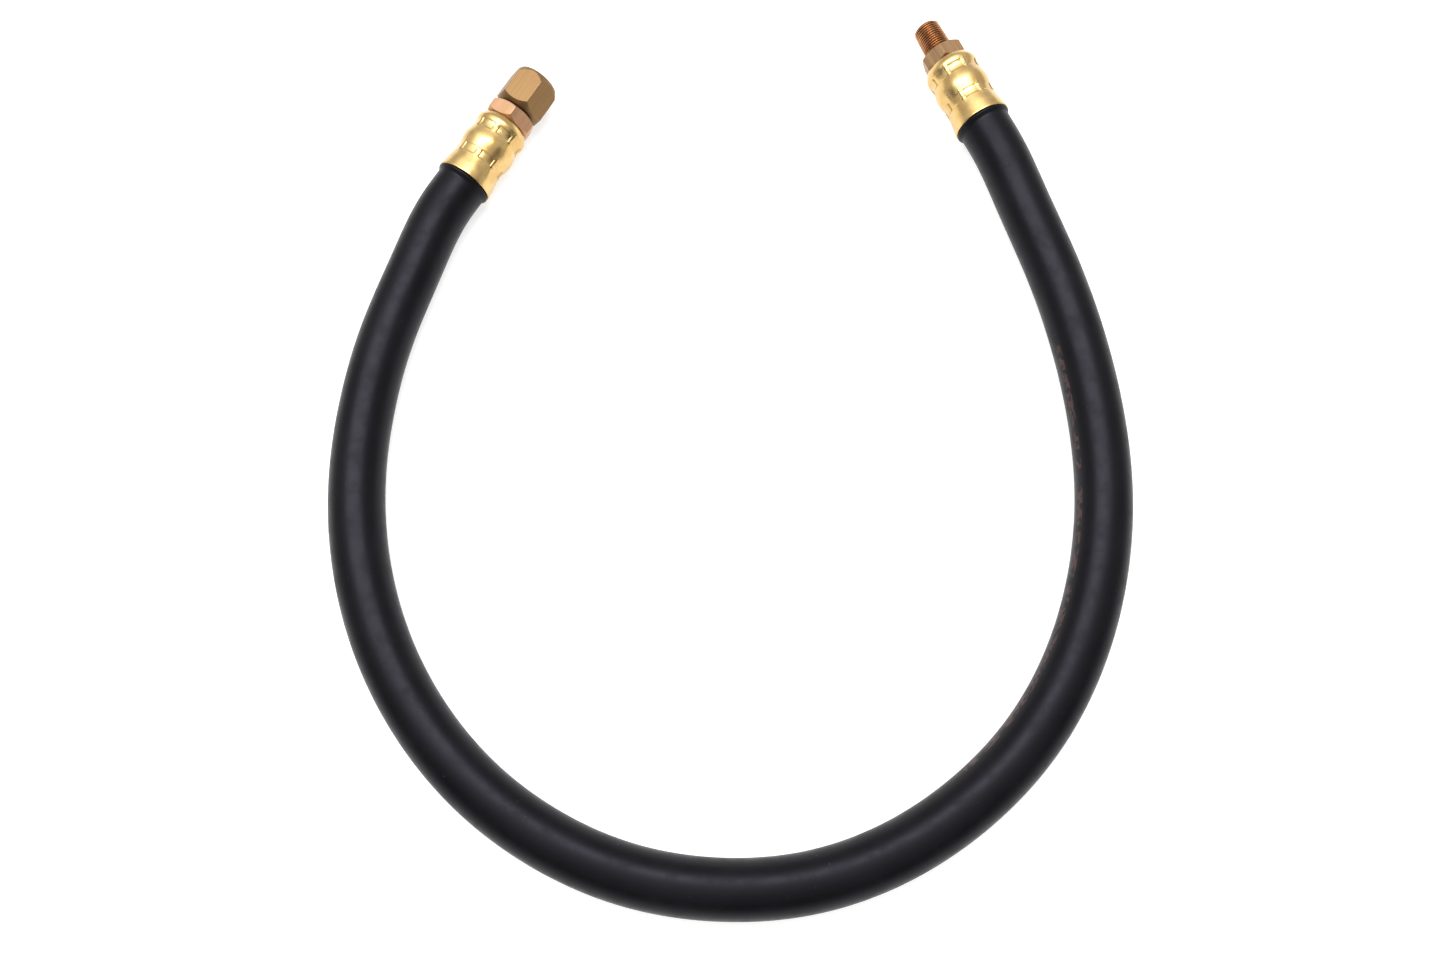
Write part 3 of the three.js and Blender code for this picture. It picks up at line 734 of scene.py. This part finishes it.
def crimp_tree():
    """Presses the crimping jaws' marks into a ferrule: each groove gets a crisp flat floor, and
    the metal stands up in a small square fin wherever two jaws met."""
    tree, given = new_geometry_tree("crimp_marks", (
        "Jaws", "First groove", "Second groove", "Press", "Groove width", "Fin", "Fin width",
        "Edge", "Crease", "Crease width", "Crease start", "Crease end", "Uneven",
    ))

    place = node(tree, "GeometryNodeInputPosition")
    apart = node(tree, "ShaderNodeSeparateXYZ", [place]).node.outputs
    angle = node(tree, "ShaderNodeMath", [apart["X"], apart["Z"]], operation="ARCTAN2")
    jaw = node(tree, "ShaderNodeMath", [angle, given["Jaws"]], operation="SUBTRACT")
    jaw = node(tree, "ShaderNodeMath", [jaw, JAW_COUNT / math.tau], operation="MULTIPLY")
    jaw = node(tree, "ShaderNodeMath", [jaw, 0.5, -0.5], operation="WRAP")
    jaw = node(tree, "ShaderNodeMath", [jaw], operation="ABSOLUTE")
    across = node(tree, "ShaderNodeCombineXYZ", {"X": apart["X"], "Z": apart["Z"]})
    radius = node(tree, "ShaderNodeVectorMath", [across], output="Value", operation="LENGTH")
    arc = node(tree, "ShaderNodeMath", [jaw, math.tau / JAW_COUNT], operation="MULTIPLY")
    arc = node(tree, "ShaderNodeMath", [arc, radius], operation="MULTIPLY")

    offs = []
    for groove in ("First groove", "Second groove"):
        off = node(tree, "ShaderNodeMath", [apart["Y"], given[groove]], operation="SUBTRACT")
        offs.append(node(tree, "ShaderNodeMath", [off], operation="ABSOLUTE"))
    off = node(tree, "ShaderNodeMath", offs, operation="MINIMUM")

    masks = []
    for distance, width in ((arc, "Fin width"), (off, "Groove width")):
        outer = node(tree, "ShaderNodeMath", [given[width], given["Edge"]], operation="ADD")
        masks.append(node(tree, "ShaderNodeMapRange", {
            "Value": distance, "From Min": given[width], "From Max": outer,
            "To Min": 1.0, "To Max": 0.0,
        }, interpolation_type="SMOOTHSTEP"))
    fin, groove = masks
    between = node(tree, "ShaderNodeMath", [1.0, fin], operation="SUBTRACT")
    pressed = node(tree, "ShaderNodeMath", [between, groove], operation="MULTIPLY")
    pressed = node(tree, "ShaderNodeMath", [pressed, given["Press"]], operation="MULTIPLY")
    proud = node(tree, "ShaderNodeMath", [fin, groove], operation="MULTIPLY")
    raised = node(tree, "ShaderNodeMath", [proud, given["Fin"]], operation="MULTIPLY")

    # Beyond the groove, the jaws' gap leaves a low crease that dies out over the bulge.
    crease = node(tree, "ShaderNodeMapRange", {
        "Value": arc, "From Min": 0.0, "From Max": given["Crease width"],
        "To Min": 1.0, "To Max": 0.0,
    }, interpolation_type="SMOOTHSTEP")
    fading = node(tree, "ShaderNodeMapRange", {
        "Value": off, "From Min": given["Crease start"], "From Max": given["Crease end"],
        "To Min": 1.0, "To Max": 0.0,
    }, interpolation_type="SMOOTHSTEP")
    crease = node(tree, "ShaderNodeMath", [crease, fading], operation="MULTIPLY")
    crease = node(tree, "ShaderNodeMath", [crease, given["Crease"]], operation="MULTIPLY")

    uneven = node(tree, "ShaderNodeTexNoise", {"Vector": place, "Scale": 1 / UNEVEN_SIZE})
    uneven = node(tree, "ShaderNodeMapRange", {"Value": uneven, "To Min": -1.0, "To Max": 1.0})
    uneven = node(tree, "ShaderNodeMath", [uneven, given["Uneven"]], operation="MULTIPLY")
    push = node(tree, "ShaderNodeMath", [raised, pressed], operation="SUBTRACT")
    push = node(tree, "ShaderNodeMath", [push, crease], operation="ADD")
    push = node(tree, "ShaderNodeMath", [push, uneven], operation="ADD")
    outside = node(tree, "GeometryNodeInputNamedAttribute", {"Name": "outside"},
                   data_type="FLOAT")
    push = node(tree, "ShaderNodeMath", [push, outside], operation="MULTIPLY")

    # The mark's value is 1 on the fin's rim, where polish never reached.
    rim = node(tree, "ShaderNodeMath", [1.0, proud], operation="SUBTRACT")
    rim = node(tree, "ShaderNodeMath", [rim, proud], operation="MULTIPLY")
    rim = node(tree, "ShaderNodeMath", [rim, 4.0], operation="MULTIPLY")
    mark = node(tree, "ShaderNodeMath", [rim, outside], operation="MULTIPLY")
    moved_along(tree, given, "crimp_mark", mark, across, push)
    return tree


def with_tree(piece, tree, **values):
    """Runs a node tree on a piece, with its inputs given by name, and applies it."""
    modifier = piece.modifiers.new(tree.name, "NODES")
    modifier.node_group = tree
    for item in tree.interface.items_tree:
        key = item.name.lower().replace(" ", "_")
        if item.in_out == "INPUT" and key in values:
            modifier[item.identifier] = values[key]
    return applied(piece)


CRIMP_TREE = crimp_tree()
FERRULE_COLUMNS = 360


def ferrule_places():
    """Places up the ferrule's outside: close together across the grooves' marks."""
    reach, fine_step, coarse_step = 3.6, 0.2, 0.4  # mm
    first, last = 0.35, 26.6  # mm
    fine = [np.arange(g / MM - reach, g / MM + reach, fine_step) for g in GROOVES]
    coarse = np.arange(first, last, coarse_step)
    far = [c for c in coarse if all(abs(c - g / MM) > reach for g in GROOVES)]
    return np.sort(np.concatenate([*fine, far])) * MM


def make_ferrule(name, place, jaws, node_name):
    """A crimped tube, open at the mouth and turned in to a flange at the other end."""
    rounding = 0.3 * MM
    end_radius = crimp_radius(FERRULE_LENGTH - rounding)
    flange_inside = FERRULE_LENGTH - FLANGE_THICKNESS
    inner_mouth = MOUTH_RADIUS - FERRULE_WALL
    rows, flags = [], {"outside": []}
    flagged(rows, flags, [
        (inner_mouth + 0.1 * MM, 0),
        (MOUTH_RADIUS - 0.25 * MM, 0),
        (MOUTH_RADIUS - 0.08 * MM, 0.07 * MM),
    ])
    flagged(rows, flags, [(float(crimp_radius(y)), y) for y in ferrule_places()], outside=1)
    flagged(rows, flags, [
        (end_radius - 0.1 * MM, FERRULE_LENGTH - 0.08 * MM),
        (end_radius - rounding, FERRULE_LENGTH),
        (FLANGE_RADIUS, FERRULE_LENGTH),
        (FLANGE_RADIUS, flange_inside),
        (float(crimp_radius(flange_inside)) - FERRULE_WALL, flange_inside),
    ])
    inside = np.arange(25, 0, -1) * MM
    flagged(rows, flags, [(float(crimp_radius(y)) - FERRULE_WALL, y) for y in inside])
    flagged(rows, flags, [(inner_mouth, 0.1 * MM)])
    piece = revolved(name, rows, FERRULE_COLUMNS, jaws, POLISHED_BRASS, flags)
    with_tree(
        piece, CRIMP_TREE, jaws=jaws, first_groove=GROOVES[0], second_groove=GROOVES[1],
        material=POLISHED_BRASS, **CRIMP_MARKS,
    )
    return settled(piece, place, "hose", node_name)


swivel_ferrule = make_ferrule(
    "crimped_swivel_ferrule", SWIVEL_PLACE, SWIVEL_JAWS, "swivel_ferrule",
)
make_ferrule("crimped_male_ferrule", MALE_PLACE, MALE_JAWS, "male_ferrule")

# ---- Threads ------------------------------------------------------------------------------

ROOT_FLAT_END, CREST_FLAT_START = 0.06, 0.44  # in pitches from the root's middle


def thread_tree():
    """Cuts a right-hand vee thread into the rows flagged as threaded: the surface there is moved
    in or out by a helical wave that runs in and out over a short length at each end."""
    sizes = ("Pitch", "Depth", "Start", "End", "Run out")
    tree, given = new_geometry_tree("vee_thread", sizes)

    place = node(tree, "GeometryNodeInputPosition")
    apart = node(tree, "ShaderNodeSeparateXYZ", [place]).node.outputs
    angle = node(tree, "ShaderNodeMath", [apart["X"], apart["Z"]], operation="ARCTAN2")
    turn = node(tree, "ShaderNodeMath", [angle, math.tau], operation="DIVIDE")
    along = node(tree, "ShaderNodeMath", [apart["Y"], given["Pitch"]], operation="DIVIDE")
    phase = node(tree, "ShaderNodeMath", [along, turn], operation="SUBTRACT")
    wave = node(tree, "ShaderNodeMath", [phase, 0.5], operation="PINGPONG")
    crest = node(tree, "ShaderNodeMapRange", {
        "Value": wave, "From Min": ROOT_FLAT_END, "From Max": CREST_FLAT_START,
    })

    ends = []
    for end, sign in (("Start", 1), ("End", -1)):
        far = node(tree, "ShaderNodeMath", [apart["Y"], given[end]], operation="SUBTRACT")
        far = node(tree, "ShaderNodeMath", [far, sign], operation="MULTIPLY")
        ends.append(node(tree, "ShaderNodeMapRange", {
            "Value": far, "From Min": 0.0, "From Max": given["Run out"],
        }, interpolation_type="SMOOTHSTEP"))
    whole = node(tree, "ShaderNodeMath", ends, operation="MULTIPLY")
    threaded = node(tree, "GeometryNodeInputNamedAttribute", {"Name": "threaded"},
                    data_type="FLOAT")
    whole = node(tree, "ShaderNodeMath", [whole, threaded], operation="MULTIPLY")
    below = node(tree, "ShaderNodeMath", [1.0, crest], operation="SUBTRACT")
    depth = node(tree, "ShaderNodeMath", [below, whole], operation="MULTIPLY")
    depth = node(tree, "ShaderNodeMath", [depth, given["Depth"]], operation="MULTIPLY")
    across = node(tree, "ShaderNodeCombineXYZ", {"X": apart["X"], "Z": apart["Z"]})
    half = node(tree, "FunctionNodeCompare", {0: threaded, 1: 0.5}, data_type="FLOAT",
                operation="GREATER_THAN")
    moved_along(tree, given, "thread_crest", crest, across, depth, half)
    return tree


THREAD_TREE = thread_tree()

# ---- Stems --------------------------------------------------------------------------------

STEM_COLUMNS = 120
ROWS_PER_TURN = 12  # of a thread


def shank_rows():
    """Rows up a stem's barbed shank, collar and neck, to just below its hexagon."""
    start, lead_in, gap = 2.5 * MM, 0.6 * MM, 0.3 * MM
    root, barb, pitch, count = 4 * MM, 4.4 * MM, 4 * MM, 5
    collar_radius, waist = 6 * MM, 5.05 * MM
    rows = [(BORE_RADIUS, start), (root - 0.3 * MM, start)]
    for i in range(count):
        foot = start + lead_in + i * pitch
        rows += [(root, foot), (barb, foot + 0.8 * pitch)]
    last = start + lead_in + count * pitch
    collar_start = HOSE_END + gap
    collar_end = FERRULE_LENGTH - FLANGE_THICKNESS - gap
    rows += [
        (root, last), (root, collar_start), (collar_radius, collar_start),
        (collar_radius, collar_end), (waist, collar_end), (waist, HEX_START),
    ]
    return rows


def male_crest(place):
    """The male thread's crest radius, which tapers towards the tip."""
    return MALE_CREST_AT_TIP + (MALE_TIP - place) * NPT_TAPER


def make_male_stem():
    """The barbed shank, the hexagon and the tapered spigot with its thread, in one piece."""
    face = MALE_HEX_FLATS * HEX_FACE
    chamfer, undercut, bore_edge = 0.8 * MM, 0.3 * MM, 0.3 * MM
    rows, flags = [], {"turned_face": [], "threaded": []}
    hexed = chamfered_hex(
        MALE_HEX_FLATS, STEM_COLUMNS, HEX_START, HEX_END, (face, 1 * MM), (face, 1 * MM),
    )
    flagged(rows, flags, shank_rows(), turned_face=1)
    flagged(rows, flags, hexed[:1], turned_face=1)
    flagged(rows, flags, hexed[1:3])
    flagged(rows, flags, hexed[3:], turned_face=1)
    root = male_crest(HEX_END) - undercut
    flagged(rows, flags, [(root, HEX_END), (root, HEX_END + 0.25 * MM)], turned_face=1)
    places = np.arange(HEX_END + 0.35 * MM, MALE_TIP - chamfer, MALE_PITCH / ROWS_PER_TURN)
    flagged(rows, flags, [(male_crest(y), y) for y in places], threaded=1)
    flagged(rows, flags, [
        (male_crest(MALE_TIP) - 0.25 * MM, MALE_TIP - chamfer / 2),
        (male_crest(MALE_TIP) - chamfer, MALE_TIP),
    ], threaded=1)
    flagged(rows, flags, [
        (BORE_RADIUS + bore_edge, MALE_TIP), (BORE_RADIUS, MALE_TIP - bore_edge),
    ], turned_face=1)
    piece = revolved("machined_male_stem", rows, STEM_COLUMNS, MALE_HEX_TURN, SPIGOT_BRASS, flags)
    bevelled(piece, 0.25 * MM, 30)
    with_tree(
        piece, THREAD_TREE, pitch=MALE_PITCH, depth=-MALE_THREAD_DEPTH,
        start=HEX_END - 0.4 * MM, end=MALE_TIP + 0.5 * MM, run_out=1.2 * MM,
        material=THREAD_BRASS,
    )
    return settled(piece, MALE_PLACE, "hose", "male_stem")


def make_swivel_stem():
    """The barbed shank, the fixed hexagon and the grooved neck with its coned nose."""
    tip = HEX_END + NOSE_LENGTH
    face = SWIVEL_HEX_FLATS * HEX_FACE
    shoulder, nose, cone, bore_edge = 6.4 * MM, 3.7 * MM, 2.2 * MM, 0.2 * MM
    rows, flags = [], {"turned_face": [], "grime": []}
    hexed = chamfered_hex(
        SWIVEL_HEX_FLATS, STEM_COLUMNS, HEX_START, HEX_END, (face, 1.2 * MM), (face, 1.2 * MM),
    )
    flagged(rows, flags, shank_rows(), turned_face=1)
    flagged(rows, flags, hexed[:1], turned_face=1)
    flagged(rows, flags, hexed[1:3])
    # The hexagon's front face and the shoulder at the neck get painted shade, for the gap before
    # the nut.
    flagged(rows, flags, hexed[3:], turned_face=1, grime=0.3)
    flagged(rows, flags, [(shoulder, HEX_END), (NECK_RADIUS, HEX_END)], turned_face=1, grime=0.9)
    flagged(rows, flags, [
        (NECK_RADIUS, RING_PLACE - RING_GROOVE),
        (RING_RADIUS - RING_GROOVE, RING_PLACE - RING_GROOVE),
        (RING_RADIUS - RING_GROOVE, RING_PLACE + RING_GROOVE),
        (NECK_RADIUS, RING_PLACE + RING_GROOVE),
        (NECK_RADIUS, tip - cone),
        (nose, tip),
        (BORE_RADIUS + bore_edge, tip),
        (BORE_RADIUS, tip - bore_edge),
    ], turned_face=1)
    piece = revolved(
        "machined_swivel_stem", rows, STEM_COLUMNS, SWIVEL_HEX_TURN, SWIVEL_BRASS, flags,
    )
    bevelled(piece, 0.25 * MM, 30)
    return settled(piece, SWIVEL_PLACE, "hose", "swivel_stem")


make_male_stem()
swivel_stem = make_swivel_stem()

# ---- Swivel nut and its ring --------------------------------------------------------------


def make_nut():
    """The hexagon nut: a rear bore that runs on the neck, a relief, and the thread in front."""
    rear = HEX_END + NUT_GAP
    front = rear + NUT_LENGTH
    relief = rear + 5.2 * MM
    thread_start = relief + 2.6 * MM
    rear_mouth, rear_bore, relief_radius, entry = 6.5 * MM, 5.2 * MM, 6.9 * MM, 0.9 * MM
    rows, flags = [], {"turned_face": [], "threaded": [], "grime": []}
    hexed = chamfered_hex(
        SWIVEL_HEX_FLATS, STEM_COLUMNS, rear, front, (7.2 * MM, 2.5 * MM), (8 * MM, 3.4 * MM),
    )
    # The rear mouth and rear face get painted shade, for the gap behind the nut.
    flagged(rows, flags, [(rear_mouth, rear)], turned_face=1, grime=1)
    flagged(rows, flags, hexed[:1], turned_face=1, grime=0.4)
    flagged(rows, flags, hexed[1:3])
    flagged(rows, flags, hexed[3:], turned_face=1)
    flagged(rows, flags, [(NUT_MINOR_RADIUS + entry, front)], turned_face=1)
    places = np.arange(front - entry, thread_start, -NUT_PITCH / ROWS_PER_TURN)
    flagged(rows, flags, [(NUT_MINOR_RADIUS, y) for y in places], threaded=1)
    flagged(rows, flags, [
        (relief_radius, thread_start),
        (relief_radius, relief + 0.8 * MM),
        (rear_bore, relief),
        (rear_bore, RING_PLACE + RING_GROOVE),
        (RING_RADIUS + RING_GROOVE, RING_PLACE + RING_GROOVE),
        (RING_RADIUS + RING_GROOVE, RING_PLACE - RING_GROOVE),
        (rear_bore, RING_PLACE - RING_GROOVE),
        (rear_bore, rear),
    ], turned_face=1)
    piece = revolved("machined_swivel_nut", rows, STEM_COLUMNS, NUT_TURN, NUT_BRASS, flags)
    bevelled(piece, 0.16 * MM, 25)
    with_tree(
        piece, THREAD_TREE, pitch=NUT_PITCH, depth=NUT_THREAD_DEPTH, start=thread_start,
        end=front + 0.3 * MM, run_out=0.8 * MM, material=NUT_BRASS,
    )
    return settled(piece, SWIVEL_PLACE, "nut", "swivel_nut")


def make_retaining_ring():
    """Round spring wire in an open ring."""
    start, opening, stations, sides = 0.3, 0.5, 97, 16  # angles in radians
    angle = np.linspace(start, start + math.tau - opening, stations)
    rings = np.zeros((stations, sides, 3))
    for j in range(sides):
        turn = -j * math.tau / sides
        out = RING_RADIUS + RING_WIRE * math.cos(turn)
        rings[:, j, 0] = out * np.sin(angle)
        rings[:, j, 1] = RING_PLACE + RING_WIRE * math.sin(turn)
        rings[:, j, 2] = out * np.cos(angle)
    around = np.full(stations, math.tau * RING_WIRE)
    mesh = skin("round_wire_ring", rings, around, angle * RING_RADIUS, False)
    piece = as_object(mesh, SPRING)
    return settled(piece, SWIVEL_PLACE, "nut", "nut_retaining_ring")


swivel_nut = make_nut()
retaining_ring = make_retaining_ring()

# ---- Studio -------------------------------------------------------------------------------

FLOOR_GLOW = 0.68
FLOOR_HALF_SIZE = 30.0


def make_floor():
    """Matt white sheet, lit a little from below like a light table: plain and pale all over, with
    only faint soft shadows."""
    material, tree, shader = new_material("matt_white_floor")
    shader.inputs["Base Color"].default_value = linear("#C4C4C3")
    shader.inputs["Roughness"].default_value = 0.8
    shader.inputs["Emission Color"].default_value = linear("#FFFFFF")
    shader.inputs["Emission Strength"].default_value = FLOOR_GLOW
    mesh = bpy.data.meshes.new("floor")
    far = FLOOR_HALF_SIZE
    corners = [(-far, -far, 0), (far, -far, 0), (far, far, 0), (-far, far, 0)]
    mesh.from_pydata(corners, [], [(0, 1, 2, 3)])
    as_object(mesh, material)


def make_softbox(name, place, target, size, power):
    """A rectangular soft light at a place, facing a target."""
    data = bpy.data.lights.new(name, "AREA")
    data.shape = "RECTANGLE"
    data.size, data.size_y = size
    data.energy = power
    light = bpy.data.objects.new(name, data)
    bpy.context.scene.collection.objects.link(light)
    facing = (Vector(target) - Vector(place)).to_track_quat("-Z", "Y")
    light.matrix_world = Matrix.Translation(place) @ facing.to_matrix().to_4x4()


GLOW_DIRECTION = (-0.09, 0.29, 0.95)
GLOW_STRENGTH = 1.3
STRIP_DARKNESS = 0.92


def make_world():
    """A pale studio all round, with a soft glow overhead and a dark strip low in front that gives
    the brass its darker reflections."""
    world = bpy.data.worlds.new("studio")
    bpy.context.scene.world = world
    world.use_nodes = True
    tree = world.node_tree
    tree.nodes.clear()
    direction = node(tree, "ShaderNodeTexCoord", output="Generated")
    apart = node(tree, "ShaderNodeSeparateXYZ", [direction]).node.outputs
    sky = node(tree, inputs=[apart["Z"], 0.1, 0.7, 0.7, 0.85], **RAMP)
    front = node(tree, inputs=[apart["Y"], 0.1, -0.3], **RAMP)
    low = node(tree, inputs=[apart["Z"], 0.75, 0.4], **RAMP)
    raised = node(tree, inputs=[apart["Z"], 0.2, 0.3], **RAMP)
    dark = node(tree, "ShaderNodeMath", [front, low], operation="MULTIPLY")
    dark = node(tree, "ShaderNodeMath", [dark, raised], operation="MULTIPLY")
    dark = node(tree, "ShaderNodeMath", [dark, STRIP_DARKNESS], operation="MULTIPLY")
    left = node(tree, "ShaderNodeMath", [1.0, dark], operation="SUBTRACT")
    bright = node(tree, "ShaderNodeMath", [sky, left], operation="MULTIPLY")
    toward = node(tree, "ShaderNodeVectorMath", [direction, GLOW_DIRECTION], output="Value",
                  operation="DOT_PRODUCT")
    glow = node(tree, inputs=[toward, 0.7, 0.99, 0, GLOW_STRENGTH], **RAMP)
    bright = node(tree, "ShaderNodeMath", [bright, glow], operation="ADD")
    white = linear("#FFFFFF")
    background = node(tree, "ShaderNodeBackground", {"Color": white, "Strength": bright})
    output = tree.nodes.new("ShaderNodeOutputWorld")
    tree.links.new(background, output.inputs["Surface"])


make_floor()
make_softbox(
    "overhead_softbox", place=(-0.07, 0.2, 0.62), target=(-0.05, 0.05, 0), size=(0.7, 0.26),
    power=3.9,
)
make_world()
bpy.context.scene.view_settings.view_transform = "Standard"
